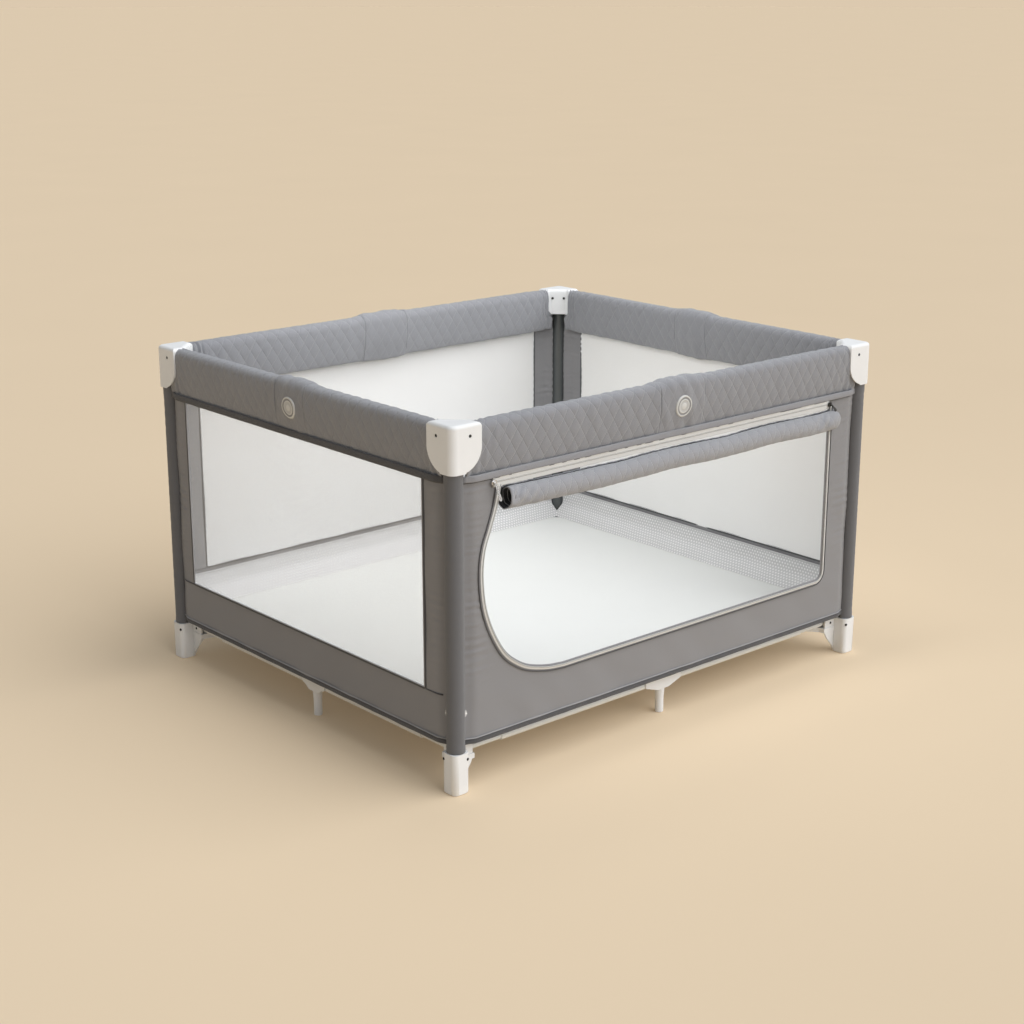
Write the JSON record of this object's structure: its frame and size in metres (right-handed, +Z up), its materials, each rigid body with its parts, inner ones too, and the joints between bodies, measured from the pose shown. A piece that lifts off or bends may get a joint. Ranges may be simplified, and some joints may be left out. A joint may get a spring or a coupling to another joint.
{
  "type": "playpen",
  "caption": "Rectangular folding playpen with padded top rails, soft walls, a zipped door opening with its panel rolled up, floor mat and tubular frame on plastic feet.",
  "frame": {"origin": "on the floor at the middle of the pen", "axes": "+Z up, +X along the long sides, the door side faces -Y"},
  "size_m": [1.263, 1.069, 0.762],
  "materials": {
    "frame_tube": "satin",
    "white_tube": "satin",
    "white_plastic": "satin",
    "latch_plastic": "satin",
    "quilted_fabric": "matte",
    "wall_fabric": "matte",
    "mattress_fabric": "matte",
    "zip_metal": "satin"
  },
  "bodies": {
    "corner_front_left": {"post_front_left": "frame_tube", "corner_cap_front_left": "white_plastic", "foot_front_left": "white_plastic", "wall_front": "wall_fabric", "wall_left": "wall_fabric", "door_roll": "quilted_fabric"},
    "corner_front_right": {"post_front_right": "frame_tube", "corner_cap_front_right": "white_plastic", "foot_front_right": "white_plastic"},
    "corner_back_left": {"post_back_left": "frame_tube", "corner_cap_back_left": "white_plastic", "foot_back_left": "white_plastic"},
    "corner_back_right": {"post_back_right": "frame_tube", "corner_cap_back_right": "white_plastic", "foot_back_right": "white_plastic", "wall_back": "wall_fabric", "wall_right": "wall_fabric"},
    "spoke_front_left": {"spoke_front_left": "white_tube"},
    "spoke_front_right": {"spoke_front_right": "white_tube"},
    "spoke_back_left": {"spoke_back_left": "white_tube"},
    "spoke_back_right": {"spoke_back_right": "white_tube"},
    "hub": {"hub": "white_plastic"},
    "top_rail_front_left": {"top_rail_front_left": "frame_tube", "rail_pad_front_left": "quilted_fabric"},
    "base_rail_front_left": {"base_rail_front_left": "white_tube"},
    "top_rail_front_right": {"top_rail_front_right": "frame_tube", "rail_pad_front_right": "quilted_fabric"},
    "base_rail_front_right": {"base_rail_front_right": "white_tube"},
    "top_rail_back_left": {"top_rail_back_left": "frame_tube", "rail_pad_back_left": "quilted_fabric"},
    "base_rail_back_left": {"base_rail_back_left": "white_tube"},
    "top_rail_back_right": {"top_rail_back_right": "frame_tube", "rail_pad_back_right": "quilted_fabric"},
    "base_rail_back_right": {"base_rail_back_right": "white_tube"},
    "top_rail_left_front": {"top_rail_left_front": "frame_tube", "rail_pad_left_front": "quilted_fabric"},
    "base_rail_left_front": {"base_rail_left_front": "white_tube"},
    "top_rail_left_back": {"top_rail_left_back": "frame_tube", "rail_pad_left_back": "quilted_fabric"},
    "base_rail_left_back": {"base_rail_left_back": "white_tube"},
    "top_rail_right_front": {"top_rail_right_front": "frame_tube", "rail_pad_right_front": "quilted_fabric"},
    "base_rail_right_front": {"base_rail_right_front": "white_tube"},
    "top_rail_right_back": {"top_rail_right_back": "frame_tube", "rail_pad_right_back": "quilted_fabric"},
    "base_rail_right_back": {"base_rail_right_back": "white_tube"},
    "latch_front": {"latch_front": "latch_plastic"},
    "latch_button_front": {"latch_button_front": "latch_plastic"},
    "mid_foot_front": {"mid_foot_front": "white_plastic"},
    "latch_back": {"latch_back": "latch_plastic"},
    "latch_button_back": {"latch_button_back": "latch_plastic"},
    "mid_foot_back": {"mid_foot_back": "white_plastic"},
    "latch_left": {"latch_left": "latch_plastic"},
    "latch_button_left": {"latch_button_left": "latch_plastic"},
    "mid_foot_left": {"mid_foot_left": "white_plastic"},
    "latch_right": {"latch_right": "latch_plastic"},
    "latch_button_right": {"latch_button_right": "latch_plastic"},
    "mid_foot_right": {"mid_foot_right": "white_plastic"},
    "mattress": {"mattress": "mattress_fabric"},
    "zip_slider": {"zip_slider": "zip_metal"}
  },
  "joints": [
    {"name": "fold", "type": "hinge", "parent": "corner_front_left", "child": "spoke_front_left", "pos_m": [-0.5447, -0.45794, 0.075], "axis": [0.6435, -0.7654, 0], "range_deg": [0, 85], "deforming": ["wall_front", "wall_back", "wall_left", "wall_right", "rail_pad_front_left", "rail_pad_front_right", "rail_pad_back_left", "rail_pad_back_right", "rail_pad_left_front", "rail_pad_left_back", "rail_pad_right_front", "rail_pad_right_back", "door_roll", "mattress"]},
    {"name": "hub_level", "type": "hinge", "parent": "spoke_front_left", "child": "hub", "pos_m": [-0.02169, -0.01824, 0.075], "axis": [-0.6435, 0.7654, 0], "range_deg": [0, 85]},
    {"name": "spoke_front_right_turn", "type": "hinge", "parent": "hub", "child": "spoke_front_right", "pos_m": [0.02169, -0.01824, 0.075], "axis": [0.6435, 0.7654, 0], "range_deg": [0, 85]},
    {"name": "corner_front_right_level", "type": "hinge", "parent": "spoke_front_right", "child": "corner_front_right", "pos_m": [0.5447, -0.45794, 0.075], "axis": [-0.6435, -0.7654, 0], "range_deg": [0, 85]},
    {"name": "spoke_back_left_turn", "type": "hinge", "parent": "hub", "child": "spoke_back_left", "pos_m": [-0.02169, 0.01824, 0.075], "axis": [-0.6435, -0.7654, 0], "range_deg": [0, 85]},
    {"name": "corner_back_left_level", "type": "hinge", "parent": "spoke_back_left", "child": "corner_back_left", "pos_m": [-0.5447, 0.45794, 0.075], "axis": [0.6435, 0.7654, 0], "range_deg": [0, 85]},
    {"name": "spoke_back_right_turn", "type": "hinge", "parent": "hub", "child": "spoke_back_right", "pos_m": [0.02169, 0.01824, 0.075], "axis": [-0.6435, 0.7654, 0], "range_deg": [0, 85]},
    {"name": "corner_back_right_level", "type": "hinge", "parent": "spoke_back_right", "child": "corner_back_right", "pos_m": [0.5447, 0.45794, 0.075], "axis": [0.6435, -0.7654, 0], "range_deg": [0, 85]},
    {"name": "top_rail_front_left_turn", "type": "hinge", "parent": "corner_front_left", "child": "top_rail_front_left", "pos_m": [-0.577, -0.512, 0.736], "axis": [0, 1, 0], "range_deg": [0, 85]},
    {"name": "base_rail_front_left_turn", "type": "hinge", "parent": "corner_front_left", "child": "base_rail_front_left", "pos_m": [-0.567, -0.486, 0.075], "axis": [0, -1, 0], "range_deg": [0, 85]},
    {"name": "latch_front_level", "type": "hinge", "parent": "top_rail_front_left", "child": "latch_front", "pos_m": [-0.05399, -0.512, 0.736], "axis": [0, -1, 0], "range_deg": [0, 85]},
    {"name": "mid_foot_front_level", "type": "hinge", "parent": "base_rail_front_left", "child": "mid_foot_front", "pos_m": [-0.04399, -0.486, 0.075], "axis": [0, 1, 0], "range_deg": [0, 85]},
    {"name": "latch_front_press", "type": "slide", "parent": "latch_front", "child": "latch_button_front", "axis": [0, 0, 1], "range_m": [0, 0.005], "stiffness_N_per_m": 200, "springref_m": -0.001},
    {"name": "top_rail_front_right_turn", "type": "hinge", "parent": "corner_front_right", "child": "top_rail_front_right", "pos_m": [0.577, -0.512, 0.736], "axis": [0, -1, 0], "range_deg": [0, 85]},
    {"name": "base_rail_front_right_turn", "type": "hinge", "parent": "corner_front_right", "child": "base_rail_front_right", "pos_m": [0.567, -0.486, 0.075], "axis": [0, 1, 0], "range_deg": [0, 85]},
    {"name": "top_rail_back_left_turn", "type": "hinge", "parent": "corner_back_left", "child": "top_rail_back_left", "pos_m": [-0.577, 0.512, 0.736], "axis": [0, 1, 0], "range_deg": [0, 85]},
    {"name": "base_rail_back_left_turn", "type": "hinge", "parent": "corner_back_left", "child": "base_rail_back_left", "pos_m": [-0.567, 0.486, 0.075], "axis": [0, -1, 0], "range_deg": [0, 85]},
    {"name": "latch_back_level", "type": "hinge", "parent": "top_rail_back_left", "child": "latch_back", "pos_m": [-0.05399, 0.512, 0.736], "axis": [0, -1, 0], "range_deg": [0, 85]},
    {"name": "mid_foot_back_level", "type": "hinge", "parent": "base_rail_back_left", "child": "mid_foot_back", "pos_m": [-0.04399, 0.486, 0.075], "axis": [0, 1, 0], "range_deg": [0, 85]},
    {"name": "latch_back_press", "type": "slide", "parent": "latch_back", "child": "latch_button_back", "axis": [0, 0, 1], "range_m": [0, 0.005], "stiffness_N_per_m": 200, "springref_m": -0.001},
    {"name": "top_rail_back_right_turn", "type": "hinge", "parent": "corner_back_right", "child": "top_rail_back_right", "pos_m": [0.577, 0.512, 0.736], "axis": [0, -1, 0], "range_deg": [0, 85]},
    {"name": "base_rail_back_right_turn", "type": "hinge", "parent": "corner_back_right", "child": "base_rail_back_right", "pos_m": [0.567, 0.486, 0.075], "axis": [0, 1, 0], "range_deg": [0, 85]},
    {"name": "top_rail_left_front_turn", "type": "hinge", "parent": "corner_front_left", "child": "top_rail_left_front", "pos_m": [-0.609, -0.48, 0.736], "axis": [-1, 0, 0], "range_deg": [0, 85]},
    {"name": "base_rail_left_front_turn", "type": "hinge", "parent": "corner_front_left", "child": "base_rail_left_front", "pos_m": [-0.583, -0.47, 0.075], "axis": [1, 0, 0], "range_deg": [0, 85]},
    {"name": "latch_left_level", "type": "hinge", "parent": "top_rail_left_front", "child": "latch_left", "pos_m": [-0.609, -0.04029, 0.736], "axis": [1, 0, 0], "range_deg": [0, 85]},
    {"name": "mid_foot_left_level", "type": "hinge", "parent": "base_rail_left_front", "child": "mid_foot_left", "pos_m": [-0.583, -0.03029, 0.075], "axis": [-1, 0, 0], "range_deg": [0, 85]},
    {"name": "latch_left_press", "type": "slide", "parent": "latch_left", "child": "latch_button_left", "axis": [0, 0, 1], "range_m": [0, 0.005], "stiffness_N_per_m": 200, "springref_m": -0.001},
    {"name": "top_rail_left_back_turn", "type": "hinge", "parent": "corner_back_left", "child": "top_rail_left_back", "pos_m": [-0.609, 0.48, 0.736], "axis": [1, 0, 0], "range_deg": [0, 85]},
    {"name": "base_rail_left_back_turn", "type": "hinge", "parent": "corner_back_left", "child": "base_rail_left_back", "pos_m": [-0.583, 0.47, 0.075], "axis": [-1, 0, 0], "range_deg": [0, 85]},
    {"name": "top_rail_right_front_turn", "type": "hinge", "parent": "corner_front_right", "child": "top_rail_right_front", "pos_m": [0.609, -0.48, 0.736], "axis": [-1, 0, 0], "range_deg": [0, 85]},
    {"name": "base_rail_right_front_turn", "type": "hinge", "parent": "corner_front_right", "child": "base_rail_right_front", "pos_m": [0.583, -0.47, 0.075], "axis": [1, 0, 0], "range_deg": [0, 85]},
    {"name": "latch_right_level", "type": "hinge", "parent": "top_rail_right_front", "child": "latch_right", "pos_m": [0.609, -0.04029, 0.736], "axis": [1, 0, 0], "range_deg": [0, 85]},
    {"name": "mid_foot_right_level", "type": "hinge", "parent": "base_rail_right_front", "child": "mid_foot_right", "pos_m": [0.583, -0.03029, 0.075], "axis": [-1, 0, 0], "range_deg": [0, 85]},
    {"name": "latch_right_press", "type": "slide", "parent": "latch_right", "child": "latch_button_right", "axis": [0, 0, 1], "range_m": [0, 0.005], "stiffness_N_per_m": 200, "springref_m": -0.001},
    {"name": "top_rail_right_back_turn", "type": "hinge", "parent": "corner_back_right", "child": "top_rail_right_back", "pos_m": [0.609, 0.48, 0.736], "axis": [1, 0, 0], "range_deg": [0, 85]},
    {"name": "base_rail_right_back_turn", "type": "hinge", "parent": "corner_back_right", "child": "base_rail_right_back", "pos_m": [0.583, 0.47, 0.075], "axis": [-1, 0, 0], "range_deg": [0, 85]},
    {"name": "mattress_lift", "type": "slide", "parent": "hub", "child": "mattress", "axis": [0, 0, 1], "range_m": [0, 0.8]},
    {"name": "zip_run", "type": "slide", "parent": "corner_front_left", "child": "zip_slider", "axis": [1, 0, 0], "range_m": [0, 1]}
  ],
  "couplings": [
    {"joint": "hub_level", "follows": "fold", "ratio": 1},
    {"joint": "spoke_front_right_turn", "follows": "fold", "ratio": 1},
    {"joint": "corner_front_right_level", "follows": "fold", "ratio": 1},
    {"joint": "spoke_back_left_turn", "follows": "fold", "ratio": 1},
    {"joint": "corner_back_left_level", "follows": "fold", "ratio": 1},
    {"joint": "spoke_back_right_turn", "follows": "fold", "ratio": 1},
    {"joint": "corner_back_right_level", "follows": "fold", "ratio": 1},
    {"joint": "top_rail_front_left_turn", "follows": "fold", "ratio": 1},
    {"joint": "base_rail_front_left_turn", "follows": "fold", "ratio": 1},
    {"joint": "latch_front_level", "follows": "fold", "ratio": 1},
    {"joint": "mid_foot_front_level", "follows": "fold", "ratio": 1},
    {"joint": "top_rail_front_right_turn", "follows": "fold", "ratio": 1},
    {"joint": "base_rail_front_right_turn", "follows": "fold", "ratio": 1},
    {"joint": "top_rail_back_left_turn", "follows": "fold", "ratio": 1},
    {"joint": "base_rail_back_left_turn", "follows": "fold", "ratio": 1},
    {"joint": "latch_back_level", "follows": "fold", "ratio": 1},
    {"joint": "mid_foot_back_level", "follows": "fold", "ratio": 1},
    {"joint": "top_rail_back_right_turn", "follows": "fold", "ratio": 1},
    {"joint": "base_rail_back_right_turn", "follows": "fold", "ratio": 1},
    {"joint": "top_rail_left_front_turn", "follows": "fold", "ratio": 1},
    {"joint": "base_rail_left_front_turn", "follows": "fold", "ratio": 1},
    {"joint": "latch_left_level", "follows": "fold", "ratio": 1},
    {"joint": "mid_foot_left_level", "follows": "fold", "ratio": 1},
    {"joint": "top_rail_left_back_turn", "follows": "fold", "ratio": 1},
    {"joint": "base_rail_left_back_turn", "follows": "fold", "ratio": 1},
    {"joint": "top_rail_right_front_turn", "follows": "fold", "ratio": 1},
    {"joint": "base_rail_right_front_turn", "follows": "fold", "ratio": 1},
    {"joint": "latch_right_level", "follows": "fold", "ratio": 1},
    {"joint": "mid_foot_right_level", "follows": "fold", "ratio": 1},
    {"joint": "top_rail_right_back_turn", "follows": "fold", "ratio": 1},
    {"joint": "base_rail_right_back_turn", "follows": "fold", "ratio": 1}
  ]
}
